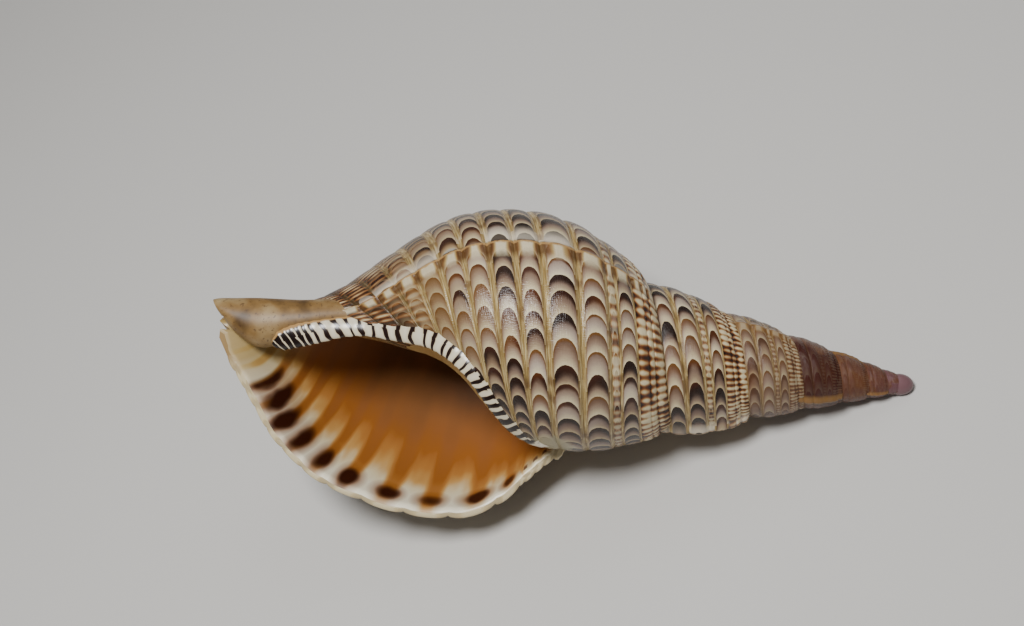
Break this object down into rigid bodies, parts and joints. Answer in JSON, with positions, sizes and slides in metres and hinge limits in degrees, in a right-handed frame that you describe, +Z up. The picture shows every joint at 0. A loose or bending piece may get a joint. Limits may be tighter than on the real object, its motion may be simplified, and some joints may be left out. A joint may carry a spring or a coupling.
{
  "type": "giant triton shell",
  "caption": "Giant triton seashell with a tall ribbed spire, a wide flared aperture and a short siphonal canal, lying on its back.",
  "frame": {"origin": "centre of the bounding box at the surface that the shell lies on", "axes": "+X towards the tip of the spire, -X towards the canal, -Y the side that the aperture faces, +Z up"},
  "size_m": [0.2846, 0.1248, 0.1143],
  "materials": {
    "shell": "glossy natural shell, cream and brown"
  },
  "bodies": {
    "root": {"triton_shell": "shell"}
  },
  "joints": []
}
